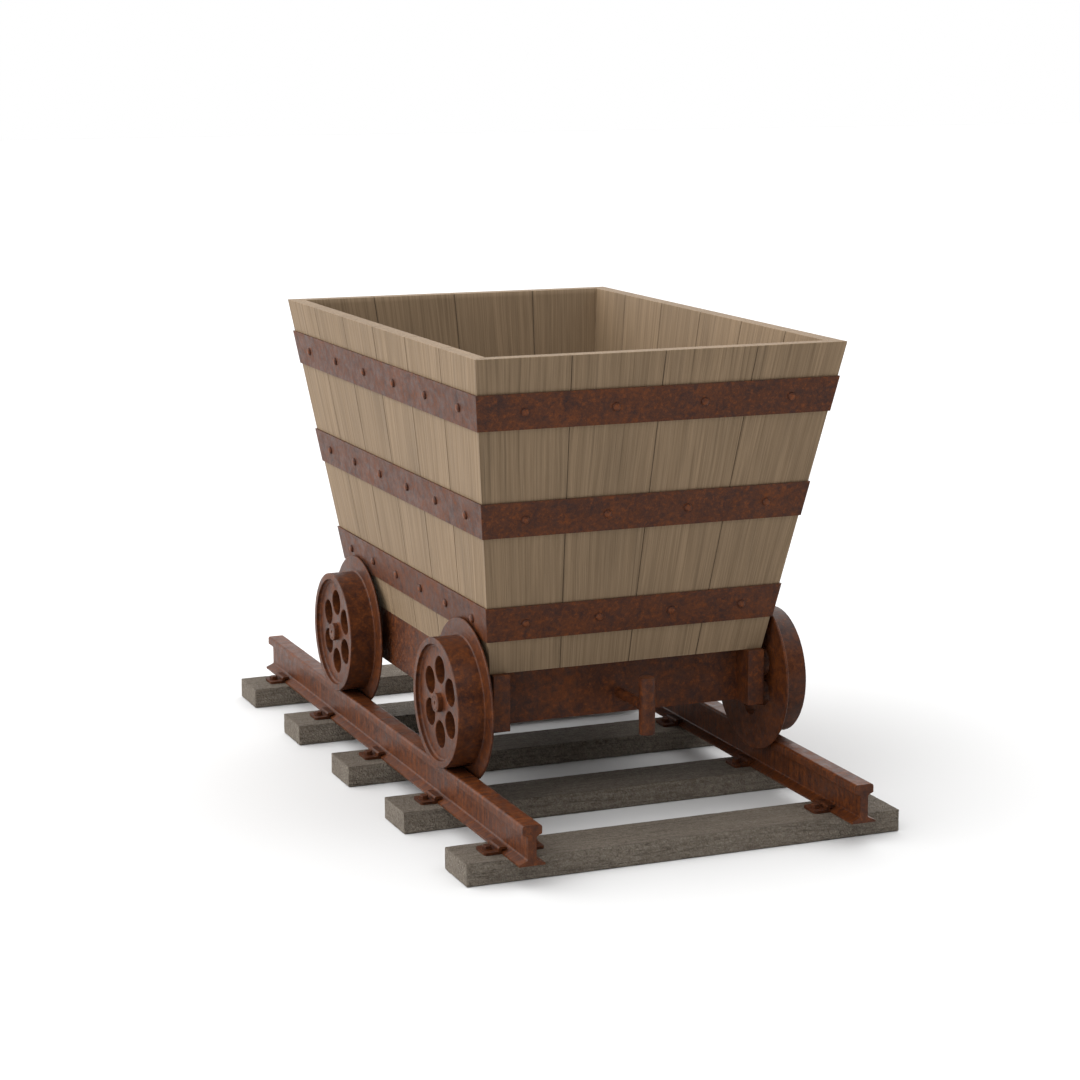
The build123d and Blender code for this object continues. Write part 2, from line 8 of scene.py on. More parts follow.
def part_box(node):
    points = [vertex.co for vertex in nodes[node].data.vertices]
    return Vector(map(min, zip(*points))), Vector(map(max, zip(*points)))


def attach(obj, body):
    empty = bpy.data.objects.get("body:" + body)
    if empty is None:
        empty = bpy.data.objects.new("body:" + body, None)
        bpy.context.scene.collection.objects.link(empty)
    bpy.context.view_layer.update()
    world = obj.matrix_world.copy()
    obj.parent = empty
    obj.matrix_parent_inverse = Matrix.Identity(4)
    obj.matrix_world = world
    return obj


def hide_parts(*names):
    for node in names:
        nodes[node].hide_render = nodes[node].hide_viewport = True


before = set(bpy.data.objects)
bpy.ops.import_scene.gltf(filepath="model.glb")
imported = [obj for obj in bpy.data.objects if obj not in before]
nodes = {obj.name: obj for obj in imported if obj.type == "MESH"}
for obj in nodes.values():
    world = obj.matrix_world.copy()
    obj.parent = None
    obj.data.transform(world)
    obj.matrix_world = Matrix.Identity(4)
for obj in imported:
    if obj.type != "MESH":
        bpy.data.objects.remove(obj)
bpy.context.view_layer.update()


# ------------------------------------------------------------------ node helpers
def colour_socket(sockets, name):
    """A mix node has sockets of the same name for numbers, vectors and colours: this is the colour's."""
    return next(s for s in sockets if s.name == name and s.type == "RGBA")


class Tree:
    """A material's node tree, with short calls for the nodes that the finishes use."""

    def __init__(self, name):
        self.material = bpy.data.materials.new(name)
        self.material.use_nodes = True
        self.tree = self.material.node_tree
        self.shader = self.tree.nodes["Principled BSDF"]

    def node(self, kind, **values):
        made = self.tree.nodes.new(kind)
        for key, value in values.items():
            setattr(made, key, value)
        return made

    def link(self, source, target):
        self.tree.links.new(source, target)

    def put(self, socket, value):
        """Sets a socket to a number or colour, or links an output to it."""
        if isinstance(value, bpy.types.NodeSocket):
            self.link(value, socket)
        else:
            socket.default_value = value

    def place(self, attribute=None):
        """Where a point is: in the row frame, or in a piece's own stored coordinates."""
        if attribute:
            return self.node("ShaderNodeAttribute", attribute_name=attribute).outputs["Vector"]
        return self.node("ShaderNodeTexCoord").outputs["Object"]

    def stretch(self, vector, scale, shift=(0, 0, 0)):
        mapping = self.node("ShaderNodeMapping")
        self.link(vector, mapping.inputs["Vector"])
        mapping.inputs["Scale"].default_value = scale
        mapping.inputs["Location"].default_value = shift
        return mapping.outputs["Vector"]

    def noise(self, vector, scale, detail=4.0, roughness=0.5, distortion=0.0):
        made = self.node("ShaderNodeTexNoise")
        self.link(vector, made.inputs["Vector"])
        made.inputs["Scale"].default_value = scale
        made.inputs["Detail"].default_value = detail
        made.inputs["Roughness"].default_value = roughness
        made.inputs["Distortion"].default_value = distortion
        return made.outputs["Fac"]

    def cells(self, vector, scale, feature="F1"):
        made = self.node("ShaderNodeTexVoronoi", feature=feature)
        self.link(vector, made.inputs["Vector"])
        made.inputs["Scale"].default_value = scale
        return made.outputs["Distance"]

    def ramp(self, value, stops):
        made = self.node("ShaderNodeValToRGB")
        elements = made.color_ramp.elements
        while len(elements) < len(stops):
            elements.new(0.5)
        for element, (place, colour) in zip(elements, stops):
            element.position = place
            element.color = (*colour, 1.0)
        self.link(value, made.inputs["Fac"])
        return made.outputs["Color"]

    def span(self, value, low, high, out_low, out_high):
        """The value's way from low to high as a way from out_low to out_high, held at both ends."""
        made = self.node("ShaderNodeMapRange", clamp=True)
        self.put(made.inputs["Value"], value)
        for name, number in (
            ("From Min", low), ("From Max", high), ("To Min", out_low), ("To Max", out_high)
        ):
            made.inputs[name].default_value = number
        return made.outputs["Result"]

    def math(self, operation, a, b=0.0):
        made = self.node("ShaderNodeMath", operation=operation)
        self.put(made.inputs[0], a)
        self.put(made.inputs[1], b)
        return made.outputs["Value"]

    def mix(self, share, a, b):
        made = self.node("ShaderNodeMix", data_type="RGBA")
        self.put(made.inputs["Factor"], share)
        for name, value in (("A", a), ("B", b)):
            if isinstance(value, tuple):
                value = (*value, 1.0)
            self.put(colour_socket(made.inputs, name), value)
        return colour_socket(made.outputs, "Result")

    def split(self, vector):
        made = self.node("ShaderNodeSeparateXYZ")
        self.link(vector, made.inputs["Vector"])
        return made.outputs

    def join(self, x, y, z):
        made = self.node("ShaderNodeCombineXYZ")
        for socket, value in zip(made.inputs, (x, y, z)):
            self.put(socket, value)
        return made.outputs["Vector"]

    def bump(self, height, distance):
        made = self.node("ShaderNodeBump")
        made.inputs["Distance"].default_value = distance
        made.inputs["Strength"].default_value = 1.0
        self.link(height, made.inputs["Height"])
        return made.outputs["Normal"]

    def finish(self, colour, rough, normal, metal=0.0, specular=0.5):
        """Joins the finish to the shader; metal and specular are the same all over the surface."""
        self.put(self.shader.inputs["Base Color"], colour)
        self.put(self.shader.inputs["Roughness"], rough)
        self.put(self.shader.inputs["Normal"], normal)
        self.shader.inputs["Metallic"].default_value = metal
        self.shader.inputs["Specular IOR Level"].default_value = specular
        return self.material


# ------------------------------------------------------------------ finishes
IRON = ((0.020, 0.0077, 0.0064), (0.058, 0.0170, 0.0058), (0.140, 0.0375, 0.0070))     # scale, body, bloom
TIMBER = ((0.216, 0.149, 0.089), (0.105, 0.070, 0.039), (0.052, 0.034, 0.019))         # light, dark, deep
SEAM_DARK = (0.020, 0.013, 0.008)
TIMBER_BUMP = 0.0006
RUST_BUMP = 0.00055
SLEEPER_BUMP = 0.0034
BRONZE_BUMP = 0.0003
SLEEPER_TOP = float(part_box("sleeper_1")[1][2])


def scaled(colour, factor):
    return tuple(factor * c for c in colour)


def all_scaled(tones, factor):
    return tuple(scaled(tone, factor) for tone in tones)


def halfway(first, second):
    return tuple((a + b) / 2 for a, b in zip(first, second))


def timber(name, tones, shift, stored=True):
    """Planed, weathered boards: fine straight grain, a faint flame figure and a few dark lines.

    Wall planks carry stored grain coordinates; the floor boards' grain runs along the row's Y.
    """
    light, dark, deep = tones
    t = Tree(name)
    if stored:
        where = t.place("grain")
        across, out, along = t.split(where)[0:3]
    else:
        across, along, out = t.split(t.place())[0:3]
        where = t.join(across, out, along)
    drift = t.noise(t.stretch(where, (7, 7, 2.2), shift), 1.0, 2.0)
    wander = t.math("MULTIPLY", t.math("SUBTRACT", drift, 0.5), 0.026)
    bent = t.join(t.math("ADD", across, wander), out, along)
    pores = t.noise(t.stretch(bent, (760, 760, 9), shift), 1.0, 1.0, 0.5)
    fine = t.noise(t.stretch(bent, (430, 430, 5.0), shift), 1.0, 2.0, 0.6)
    grain = t.noise(t.stretch(bent, (230, 230, 3.0), shift), 1.0, 2.0, 0.6)
    lines = t.noise(t.stretch(bent, (120, 120, 1.6), shift), 1.0, 2.0, 0.5)
    figure = t.noise(t.stretch(bent, (44, 44, 2.6), shift), 1.0, 3.0, 0.5, 0.6)
    smudge = t.noise(t.stretch(where, (10, 10, 3.4), shift), 1.0, 4.0, 0.55)
    colour = t.ramp(figure, [(0.30, scaled(light, 0.92)), (0.52, light), (0.70, scaled(light, 1.07))])
    colour = t.mix(t.span(grain, 0.42, 0.70, 0.0, 0.44), colour, dark)
    colour = t.mix(t.span(fine, 0.44, 0.72, 0.0, 0.46), colour, dark)
    colour = t.mix(t.span(pores, 0.54, 0.72, 0.0, 0.30), colour, deep)
    colour = t.mix(t.span(lines, 0.62, 0.70, 0.0, 0.30), colour, deep)
    colour = t.mix(t.span(smudge, 0.50, 0.76, 0.0, 0.22), colour, deep)
    if stored:
        board = t.node("ShaderNodeAttribute", attribute_name="tone").outputs["Fac"]
        colour = t.mix(t.span(board, 0.0, 1.0, 0.0, 0.16), colour, dark)
        seam = t.node("ShaderNodeAttribute", attribute_name="seam").outputs["Fac"]
        colour = t.mix(t.span(seam, 0.0, 1.0, 0.0, 0.72), colour, SEAM_DARK)
    height = t.math("ADD", t.math("MULTIPLY", grain, 0.6), t.math("MULTIPLY", fine, -0.5))
    return t.finish(colour, t.span(grain, 0.3, 0.7, 0.55, 0.72), t.bump(height, TIMBER_BUMP), specular=0.2)


def rust(name, tones, shift, sheen, streak=None, size=1.0, painted_head_shading=False):
    """Rusted iron: dark scale, red-brown body and orange bloom, with a dull satin skin.

    A streak is the stretch of long stains. For rivet heads, painted shade darkens the rim where the stored
    tone nears 1, and a painted highlight lightens the crown where it falls low.
    """
    scale, body, bloom = tones
    t = Tree(name)
    where = t.stretch(t.place(), (1, 1, 1), shift)
    wide = t.noise(where, 11.0 * size, 3.0, 0.55, 0.3)
    patch = t.noise(where, 38.0 * size, 5.0, 0.68, 0.35)
    fleck = t.noise(where, 120.0 * size, 5.0, 0.72, 0.2)
    stain = t.noise(t.stretch(where, (1, 1, 1), (3.1, 7.7, 1.9)), 42.0 * size, 5.0, 0.68, 0.4)
    grit = t.noise(where, 620.0, 3.0, 0.62)
    pits = t.cells(where, 210.0 * size)
    colour = t.ramp(patch, [(0.34, halfway(scale, body)), (0.46, body), (0.56, body),
                            (0.70, halfway(bloom, body))])
    colour = t.mix(t.span(wide, 0.48, 0.70, 0.0, 0.30), colour, bloom)
    colour = t.mix(t.span(fleck, 0.52, 0.66, 0.0, 0.72), colour, bloom)
    colour = t.mix(t.span(fleck, 0.48, 0.34, 0.0, 0.75), colour, scale)
    colour = t.mix(t.span(stain, 0.53, 0.66, 0.0, 0.75), colour, scale)
    if streak:
        lines = t.noise(t.stretch(where, streak), 1.0, 4.0, 0.6)
        colour = t.mix(t.span(lines, 0.50, 0.66, 0.0, 0.65), colour, bloom)
        colour = t.mix(t.span(lines, 0.46, 0.32, 0.0, 0.50), colour, scale)
    colour = t.mix(t.span(grit, 0.52, 0.72, 0.0, 0.45), colour, scale)
    colour = t.mix(t.span(grit, 0.44, 0.28, 0.0, 0.40), colour, bloom)
    # painted shade round a rivet head's rim, where it meets the band, and a painted highlight towards its
    # crown
    if painted_head_shading:
        edge = t.node("ShaderNodeAttribute", attribute_name="tone").outputs["Fac"]
        colour = t.mix(t.span(edge, 0.72, 1.0, 0.0, 0.70), colour, scaled(scale, 0.6))
        colour = t.mix(t.span(edge, 0.70, 0.30, 0.0, 0.30), colour, bloom)
    rough = t.math("ADD", t.span(patch, 0.38, 0.66, sheen - 0.05, sheen + 0.14),
                   t.span(fleck, 0.35, 0.7, -0.04, 0.08))
    height = t.math("ADD", t.math("MULTIPLY", fleck, 0.6), t.math("MULTIPLY", grit, 0.28))
    height = t.math("ADD", height, t.span(pits, 0.0, 0.35, -0.25, 0.0))
    return t.finish(colour, rough, t.bump(height, RUST_BUMP), specular=0.17)


def old_timber(name):
    """Sleepers: grey-brown and dry, with wrinkled faces, faint long grain and a few long cracks; painted
    shade in the wrinkles' hollows and creases, painted highlights on their ridges, and painted shade over
    the top faces.
    """
    t = Tree(name)
    where = t.place("grain")
    wide = t.noise(t.stretch(where, (7, 16, 16)), 1.0, 3.0)
    grain = t.noise(t.stretch(where, (20, 210, 210)), 1.0, 3.0, 0.6, 0.3)
    wrinkle = t.noise(t.stretch(where, (120, 150, 150)), 1.0, 5.0, 0.66, 1.0)
    rough = t.noise(where, 420.0, 3.0, 0.6, 0.3)
    swirl = t.noise(where, 60.0, 3.0, 0.6)
    a, b, c = t.split(where)[0:3]
    bent = t.join(t.math("ADD", a, t.math("MULTIPLY", swirl, 0.022)), b,
                  t.math("ADD", c, t.math("MULTIPLY", swirl, -0.018)))
    crease = t.cells(bent, 165.0, "DISTANCE_TO_EDGE")
    crack = t.noise(t.stretch(where, (2.6, 46, 46), (4, 0, 0)), 1.0, 3.0, 0.5, 0.8)
    crack = t.math("ABSOLUTE", t.math("SUBTRACT", crack, 0.5))
    colour = t.ramp(grain, [(0.30, (0.126, 0.103, 0.079)), (0.52, (0.180, 0.151, 0.119)),
                            (0.72, (0.214, 0.182, 0.147))])
    # painted shade in the wrinkles' hollows and painted highlights on their ridges, following the bump's
    # relief
    colour = t.mix(t.span(wrinkle, 0.48, 0.34, 0.0, 0.62), colour, (0.066, 0.051, 0.038))
    colour = t.mix(t.span(wrinkle, 0.52, 0.66, 0.0, 0.60), colour, (0.250, 0.217, 0.178))
    colour = t.mix(t.span(rough, 0.50, 0.70, 0.0, 0.35), colour, (0.084, 0.066, 0.049))
    # painted shade along the creases between the wrinkles, where the bump sinks
    colour = t.mix(t.span(crease, 0.12, 0.0, 0.0, 0.42), colour, (0.054, 0.042, 0.031))
    colour = t.mix(t.span(wide, 0.48, 0.70, 0.0, 0.30), colour, (0.118, 0.095, 0.071))
    colour = t.mix(t.span(crack, 0.007, 0.0, 0.0, 0.60), colour, (0.040, 0.030, 0.021))
    # painted shade: the top faces are darkened to stand in for weaker light from above
    painted_top_shade = t.span(t.split(where)[2], SLEEPER_TOP - 0.0022, SLEEPER_TOP - 0.0010, 0.0, 0.30)
    colour = t.mix(painted_top_shade, colour, (0.062, 0.047, 0.034))
    height = t.math("ADD", t.math("MULTIPLY", wrinkle, 1.1), t.math("MULTIPLY", grain, 0.16))
    height = t.math("ADD", height, t.math("MULTIPLY", rough, 0.35))
    height = t.math("ADD", height, t.span(crease, 0.0, 0.25, -0.45, 0.0))
    height = t.math("ADD", height, t.span(crack, 0.0, 0.012, -0.35, 0.0))
    rough_dry = t.span(wrinkle, 0.3, 0.7, 0.90, 0.74)
    return t.finish(colour, rough_dry, t.bump(height, SLEEPER_BUMP), specular=0.25)


tub_timber = timber("tub_timber", TIMBER, (0, 0, 0))
board_timber = timber("floor_timber", all_scaled(TIMBER, 0.9), (3, 1, 2), stored=False)
sleeper_timber = old_timber("sleeper_timber")
IRONS = {
    "band": rust("band_rust", IRON, (0.3, 1.7, 0.2), 0.42),
    "frame": rust("frame_rust", IRON, (2.1, 0.4, 1.3), 0.46, size=0.8),
    "wheel": rust("wheel_rust", IRON, (5.2, 3.3, 0.9), 0.40, size=0.75),
    "rail": rust("rail_rust", IRON, (1.2, 6.1, 3.4), 0.38, streak=(14, 170, 11)),
    "small": rust("fastener_rust", all_scaled(IRON, 0.8), (7.7, 2.6, 4.1), 0.48, size=1.6),
    # rivet heads carry painted shade at their rims and a painted highlight on their crowns
    "rivet": rust("rivet_rust", all_scaled(IRON, 1.3), (4.4, 4.9, 6.6), 0.38, size=1.6, painted_head_shading=True),
}


def bronze(name):
    """Oiled bearing metal, darkened by grease, with fine turning marks."""
    t = Tree(name)
    where = t.place()
    stain = t.noise(where, 60.0, 5.0, 0.6)
    lathe = t.noise(t.stretch(where, (2400, 90, 90)), 1.0, 2.0)
    colour = t.ramp(stain, [(0.35, (0.070, 0.040, 0.018)), (0.62, (0.290, 0.170, 0.070))])
    normal = t.bump(t.math("ADD", t.math("MULTIPLY", lathe, 0.3), stain), BRONZE_BUMP)
    return t.finish(colour, t.span(stain, 0.3, 0.7, 0.55, 0.34), normal, metal=0.8)


bush_metal = bronze("bush_bronze")
FINISHES = (        # the first name that a node's own name starts with gives its material
    ("floor_board", board_timber),
    ("bush_", bush_metal),
    ("band_", IRONS["band"]),
    ("rail_clips", IRONS["small"]),
    ("clip_", IRONS["small"]),
    ("rail_", IRONS["rail"]),
    ("wheel_", IRONS["wheel"]),
    ("axle_", IRONS["wheel"]),
    ("frame_bolts", IRONS["small"]),
    ("floor_screws", IRONS["small"]),
    ("drawbar_nuts", IRONS["small"]),
    ("", IRONS["frame"]),
)


# ------------------------------------------------------------------ planks
ROW = 0.011                  # spacing of a plank's rows of points up the wall
COLUMN = 0.0045              # and across it
LEAST_ROWS = 8
LEVEL_GAP = 1e-5             # points of one outline differ in level by less than this
RELIEF = 0.00035             # depth of the weathered grain
PLAIN_EDGE = 0.020           # the first point of a shorter side stays on the CAD corner
RIM_EASE = 0.0008            # eased upper edge of the rim
SEAM_FACE = (0.020, 0.036)   # lengths of a plank's sides that meet the next plank
SEAM_BEVEL = 0.005           # a chamfer beside a seam is shorter than this
SEAM_EDGE = 0.12             # how dark a chamfer's outer edge is, from 0 to 1
SMOOTH_UP_TO = math.radians(38)
PLANK_STEP = (0.73, 1.37)    # how far apart two planks' stored grain lies, across and along


def outlines(name):
    """A plank's lower and upper outlines, matched corner by corner, from its CAD node."""
    places = np.array([v.co for v in nodes[name].data.vertices])
    found = []
    for level in (places[:, 2].min(), places[:, 2].max()):
        ring = np.unique(np.round(places[np.abs(places[:, 2] - level) < LEVEL_GAP], 5), axis=0)
        middle = ring.mean(0)
        turn = np.arctan2(ring[:, 1] - middle[1], ring[:, 0] - middle[0])
        found.append(ring[np.argsort(turn)])
    low, high = found
    if len(low) != len(high):
        raise ValueError(f"{name}: the outlines differ")
    misfit = [
        np.linalg.norm(np.roll(high, -k, 0) - high.mean(0) - low + low.mean(0))
        for k in range(len(low))
    ]
    return low, np.roll(high, -int(np.argmin(misfit)), 0)


def mesh_object(name, points, faces, grain, material, tone=0.5, seam=None):
    """A new piece from points and faces, with its grain, tone and seams stored on its points."""
    mesh = bpy.data.meshes.new(name)
    mesh.from_pydata(points, [], faces)
    stored = mesh.attributes.new("grain", "FLOAT_VECTOR", "POINT")
    stored.data.foreach_set("vector", np.asarray(grain, np.float32).ravel())
    shade = mesh.attributes.new("tone", "FLOAT", "POINT")
    shade.data.foreach_set("value", np.full(len(points), tone, np.float32))
    dark = mesh.attributes.new("seam", "FLOAT", "POINT")
    dark.data.foreach_set("value", np.zeros(len(points), np.float32) if seam is None else seam)
    mesh.polygons.foreach_set("use_smooth", [True] * len(faces))
    mesh.update()
    mesh.set_sharp_from_angle(angle=SMOOTH_UP_TO)
    obj = bpy.data.objects.new(name, mesh)
    bpy.context.scene.collection.objects.link(obj)
    obj.data.materials.append(material)
    return obj


def seam_shades(sides, steps):
    """How much each point round a plank lies in a seam with the next one, from 0 to 1."""
    shades = []
    for i, _, share in steps:
        near = [sides[i]] if share else [sides[i], sides[i - 1]]
        if any(SEAM_FACE[0] < side < SEAM_FACE[1] for side in near):
            shades.append(1.0)
        else:
            shades.append(SEAM_EDGE if min(near) < SEAM_BEVEL else 0.0)
    return shades


def grain_depth(spot, out):
    """How deep the weather has worn the wood at a stored place."""
    lines = noise.noise(Vector((spot.x * 210, out * 40, spot.z * 5)))
    broad = noise.noise(Vector((spot.x * 34, out * 20, spot.z * 3)))
    return RELIEF * (0.55 + 0.5 * lines + 0.35 * broad)


def tube_faces(rows, count):
    """The faces of a closed tube: rows of count points each, with a cap at both ends."""
    faces = []
    for row in range(rows - 1):
        for k in range(count):
            a, b = row * count + k, row * count + (k + 1) % count
            faces.append((a, b, b + count, a + count))
    faces.append(tuple(range(count))[::-1])
    faces.append(tuple(range((rows - 1) * count, rows * count)))
    return faces


def weathered_plank(name, number):
    """A wall plank with raised grain, eased upper edges and its grain running up it."""
    low, high = outlines(name)
    run = 0 if name.startswith(("front", "rear")) else 1       # the wall's level axis
    count = len(low)
    sides = [float(np.linalg.norm(high[(i + 1) % count] - high[i])) for i in range(count)]
    steps = []                                                 # from corner, to corner, share of the way
    for i, side in enumerate(sides):
        pieces = max(1, round(side / COLUMN))
        steps += [(i, (i + 1) % count, s / pieces) for s in range(pieces)]
    wall = high[0][2] - low[0][2]
    rows = max(LEAST_ROWS, round(float(wall) / ROW))
    heights = [r / rows for r in range(rows)] + [1 - RIM_EASE / wall, 1.0]
    widths = [np.ptp(ring[:, run]) for ring in (low, high)]
    centres = [(ring[:, run].min() + ring[:, run].max()) / 2 for ring in (low, high)]
    slant = Vector(high.mean(0) - low.mean(0)).length
    points, grain = [], []
    for t in heights:
        ring = low * (1 - t) + high * t
        middle = ring.mean(0)
        width = widths[0] * (1 - t) + widths[1] * t
        centre = centres[0] * (1 - t) + centres[1] * t
        for i, j, s in steps:
            place = ring[i] * (1 - s) + ring[j] * s
            edge = ring[j] - ring[i]
            inward = Vector((-edge[1], edge[0], 0)).normalized()
            if inward.dot(Vector(middle - ring[i])) < 0:
                inward.negate()
            across = (place[run] - centre) / width * widths[1]
            out = place[1 - run] - middle[1 - run]
            spot = Vector((across + PLANK_STEP[0] * number, out, t * slant + PLANK_STEP[1] * number))
            depth = 0.0
            if s > 0 or np.linalg.norm(edge) > PLAIN_EDGE:
                depth = grain_depth(spot, out)
            if t == heights[-1]:
                depth += RIM_EASE
            points.append(Vector(place) + inward * max(0.0, depth))
            grain.append(spot)
    below_rim = [1.0] * (len(heights) - 1) + [0.0]
    seam = np.outer(below_rim, seam_shades(sides, steps)).astype(np.float32).ravel()
    tone = noise.cell(Vector((number * 1.9, 3.3, 0.5)))
    faces = tube_faces(len(heights), len(steps))
    piece = mesh_object(name + "_weathered", points, faces, grain, tub_timber, tone, seam)
    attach(piece, "cart")
    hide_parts(name)


wall_planks = sorted(n for n in nodes if "_plank_" in n)
for number, name in enumerate(wall_planks):
    weathered_plank(name, number)

# ------------------------------------------------------------------ rivets
RIVET_SIDES = 24
RIVET_PROFILE = [(0.0079, 0.0), (0.0080, 0.0010), (0.0075, 0.0022), (0.0062, 0.0034), (0.0042, 0.0042),
                 (0.0020, 0.0045)]       # radius and height over the band, from the edge to the crown
RIVET_RADIUS = max(radius for radius, _ in RIVET_PROFILE)
HEAD_FROM = 1.5                          # a head is wider than this many shanks
CART_MIDDLE = float(sum(c[1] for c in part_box("band_top")) / 2)


def apart(obj):
    """The points of each separate solid in a CAD node, as arrays."""
    places = [tuple(round(c, 6) for c in v.co) for v in obj.data.vertices]
    leader = {place: place for place in places}

    def root(place):
        while leader[place] != place:
            leader[place] = leader[leader[place]]
            place = leader[place]
        return place

    for face in obj.data.polygons:
        first = root(places[face.vertices[0]])
        for other in face.vertices[1:]:
            leader[root(places[other])] = first
            first = root(first)
    groups = {}
    for place in leader:
        groups.setdefault(root(place), []).append(place)
    return [np.array(groups[key]) for key in sorted(groups)]


def turned_rivets(name):
    """Fuller rivet heads with a crisp edge, on their CAD shanks.  Their tone runs from crown to edge, and
    carries painted shade at the rim and a painted highlight on the crown.
    """
    points, faces, tone = [], [], []
    for cloud in apart(nodes[name]):
        middle = cloud.mean(0)
        axis = Vector(np.linalg.svd(cloud - middle)[2][0])
        if axis.x * middle[0] + axis.y * (middle[1] - CART_MIDDLE) < 0:
            axis.negate()
        reach = (cloud - middle) @ np.array(axis)
        wide = np.linalg.norm(cloud - middle - np.outer(reach, axis), axis=1)
        shank = float(wide[reach < 0].max())
        head_start = reach[wide > shank * HEAD_FROM].min()
        seat = Vector(middle) + axis * float(head_start)
        foot = float(reach.min() - head_start)
        side = axis.orthogonal().normalized()
        other = axis.cross(side)
        rings = [(shank, foot), (shank, 0.0)] + RIVET_PROFILE
        start = len(points)
        for radius, height in rings:
            for k in range(RIVET_SIDES):
                angle = 2 * math.pi * k / RIVET_SIDES
                spoke = side * math.cos(angle) + other * math.sin(angle)
                points.append(seat + axis * height + spoke * radius)
                tone.append(min(1.0, radius / RIVET_RADIUS))
        faces += [tuple(start + k for k in face) for face in tube_faces(len(rings), RIVET_SIDES)]
    piece = mesh_object(name + "_turned", points, faces, points, IRONS["rivet"], np.array(tone, np.float32))
    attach(piece, "cart")
    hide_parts(name)


turned_rivets("band_rivets")

# ------------------------------------------------------------------ sleepers
SLEEPER_STEP = 0.0045        # spacing of a sleeper's points
SLEEPER_ROUND = 0.0016       # radius of its worn edges
SLEEPER_WEAR = 0.0010        # the most that its faces are worn
EDGE_TICK = 0.45             # where the row of points between an edge and its round's end lies
LEAST_STEPS = 2


def sleeper_point(place, low, high, shift):
    """A point of a plain box moved on to a worn, rounded and wrinkled one inside it."""
    core = Vector([min(max(p, a + SLEEPER_ROUND), b - SLEEPER_ROUND) for p, a, b in zip(place, low, high)])
    out = (place - core).normalized()
    spot = Vector((place.x, place.y + shift, place.z))
    worn = 0.5 + 0.5 * noise.noise(spot * 26)
    wrinkle = noise.noise(Vector((spot.x * 90, spot.y * 100, spot.z * 90)))
    lines = noise.noise(Vector((spot.x * 20, spot.y * 160, spot.z * 140)))
    depth = SLEEPER_WEAR * (0.25 + 0.28 * worn + 0.30 * wrinkle + 0.05 * lines)
    on_edge = sum(abs(c) > 0.35 for c in out) > 1
    if on_edge:
        depth += SLEEPER_WEAR * 1.1 * max(0.0, noise.noise(spot * 48))
    return core + out * (SLEEPER_ROUND - max(0.0, depth))


def weathered_sleeper(name, number):
    """A sleeper as a fine box whose points are worn one by one, each sleeper in its own way."""
    low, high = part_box(name)
    size = high - low
    ticks = []
    for axis in range(3):
        near = [0.0, EDGE_TICK * SLEEPER_ROUND, SLEEPER_ROUND]
        span = size[axis] - 2 * SLEEPER_ROUND
        inner = max(LEAST_STEPS, round(span / SLEEPER_STEP))
        middle = [SLEEPER_ROUND + span * k / inner for k in range(1, inner)]
        ticks.append([low[axis] + d for d in near + middle] + [high[axis] - d for d in reversed(near)])
    index, points, faces = {}, [], []

    def point(i, j, k):
        key = (i, j, k)
        if key not in index:
            index[key] = len(points)
            points.append(Vector((ticks[0][i], ticks[1][j], ticks[2][k])))
        return index[key]

    last = [len(t) - 1 for t in ticks]
    for axis in range(3):
        u, v = [a for a in range(3) if a != axis]
        for end in (0, last[axis]):
            for i in range(last[u]):
                for j in range(last[v]):
                    corners = []
                    for di, dj in ((0, 0), (1, 0), (1, 1), (0, 1)):
                        where = [0, 0, 0]
                        where[axis], where[u], where[v] = end, i + di, j + dj
                        corners.append(point(*where))
                    if (end == 0) == (axis != 1):
                        corners.reverse()
                    faces.append(tuple(corners))
    grain = [Vector((p.x + 1.9 * number, p.y + 0.31 * number, p.z)) for p in points]
    points = [sleeper_point(p, low, high, 2.3 * number) for p in points]
    piece = mesh_object(name + "_weathered", points, faces, grain, sleeper_timber)
    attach(piece, "track")
    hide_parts(name)


sleeper_names = sorted(n for n in nodes if n.startswith("sleeper_"))
for number, name in enumerate(sleeper_names):
    weathered_sleeper(name, number)

# ------------------------------------------------------------------ carried-over nodes
for name, obj in nodes.items():
    if name in wall_planks or name in sleeper_names or name == "band_rivets":
        continue
    obj.data.materials.clear()
    obj.data.materials.append(next(made for start, made in FINISHES if name.startswith(start)))

# ------------------------------------------------------------------ floor, light and camera
FLOOR_HALF = 30.0
FLOOR_GAP = 0.0005           # the floor lies this far under the sleepers, so no two faces coincide
FLOOR_TONE = 0.60
AMBIENT = 0.07
SKY_LIGHTS = (               # strength, direction, and the closeness to it where it begins and is full
    (2.65, (-1.0, 0.10, 0.20), 0.20, 0.95),
    (1.55, (0, 0.15, 1), 0.30, 0.95),
    (0.50, (-0.35, 1, 0.15), 0.3, 1.0),
    (1.25, (1.0, 0.30, 0.50), 0.30, 0.95),
    (0.20, (-0.55, -1.0, 0.05), 0.30, 0.95),
)
CAMERA_PLACE = (-1.9212, -4.6952, 1.4474)
CAMERA_AIM = (-0.0565, -0.1466, 0.4789)
CAMERA_LENS = 86.26          # on a sensor 36 mm wide
floor_mesh = bpy.data.meshes.new("floor")
floor_mesh.from_pydata(
    [(-FLOOR_HALF, -FLOOR_HALF, 0), (FLOOR_HALF, -FLOOR_HALF, 0),
     (FLOOR_HALF, FLOOR_HALF, 0), (-FLOOR_HALF, FLOOR_HALF, 0)], [], [(0, 1, 2, 3)])
floor = bpy.data.objects.new("floor", floor_mesh)
floor.location.z = -FLOOR_GAP
bpy.context.scene.collection.objects.link(floor)
paper = Tree("pale_floor")
paper.shader.inputs["Base Color"].default_value = (FLOOR_TONE, FLOOR_TONE, FLOOR_TONE, 1.0)
paper.shader.inputs["Roughness"].default_value = 0.9
paper.shader.inputs["Specular IOR Level"].default_value = 0.1
floor.data.materials.append(paper.material)

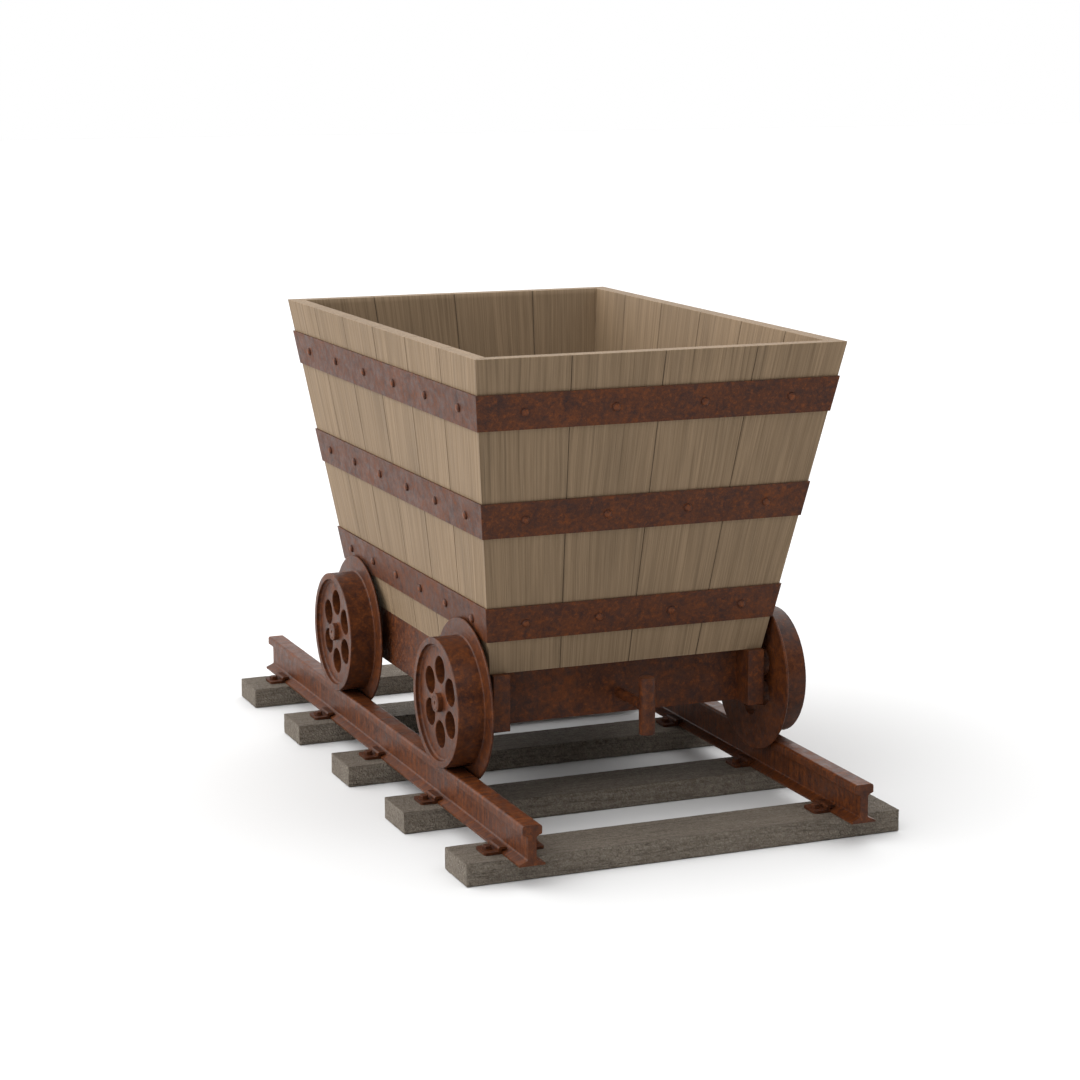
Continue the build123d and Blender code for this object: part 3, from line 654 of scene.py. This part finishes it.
world = bpy.data.worlds.new("studio")
world.use_nodes = True
bpy.context.scene.world = world
wt = world.node_tree
wt.nodes.clear()


def wnode(kind, **values):
    made = wt.nodes.new(kind)
    for key, value in values.items():
        setattr(made, key, value)
    return made


def toward(direction, low, high):
    """From 0 to 1 as the sky direction turns towards this one."""
    dot = wnode("ShaderNodeVectorMath", operation="DOT_PRODUCT")
    wt.links.new(sky.outputs["Generated"], dot.inputs[0])
    dot.inputs[1].default_value = Vector(direction).normalized()
    spread = wnode("ShaderNodeMapRange", clamp=True, interpolation_type="SMOOTHSTEP")
    wt.links.new(dot.outputs["Value"], spread.inputs["Value"])
    spread.inputs["From Min"].default_value = low
    spread.inputs["From Max"].default_value = high
    return spread.outputs["Result"]


def total(plain_part, terms):
    """The sum of strengths times shares, plus a plain number."""
    value = wnode("ShaderNodeValue")
    value.outputs[0].default_value = plain_part
    result = value.outputs[0]
    for strength, share in terms:
        step = wnode("ShaderNodeMath", operation="MULTIPLY_ADD")
        wt.links.new(share, step.inputs[0])
        step.inputs[1].default_value = strength
        wt.links.new(result, step.inputs[2])
        result = step.outputs[0]
    return result


sky = wnode("ShaderNodeTexCoord")
glow = total(AMBIENT, [(strength, toward(*where)) for strength, *where in SKY_LIGHTS])
soft = wnode("ShaderNodeBackground")
wt.links.new(glow, soft.inputs["Strength"])
plain = wnode("ShaderNodeBackground")
plain.inputs["Strength"].default_value = 1.0
seen = wnode("ShaderNodeLightPath")
choose = wnode("ShaderNodeMixShader")
out = wnode("ShaderNodeOutputWorld")
wt.links.new(seen.outputs["Is Camera Ray"], choose.inputs[0])
wt.links.new(soft.outputs[0], choose.inputs[1])
wt.links.new(plain.outputs[0], choose.inputs[2])
wt.links.new(choose.outputs[0], out.inputs["Surface"])
for background in (soft, plain):
    background.inputs["Color"].default_value = (1, 1, 1, 1)

camera = bpy.data.objects.new("camera", bpy.data.cameras.new("camera"))
bpy.context.scene.collection.objects.link(camera)
camera.location = CAMERA_PLACE
aim = Vector(CAMERA_AIM) - camera.location
camera.rotation_mode = "QUATERNION"
camera.rotation_quaternion = aim.to_track_quat("-Z", "Y")
camera.data.sensor_width = 36.0
camera.data.lens = CAMERA_LENS
bpy.context.scene.camera = camera
bpy.context.scene.view_settings.view_transform = "Standard"
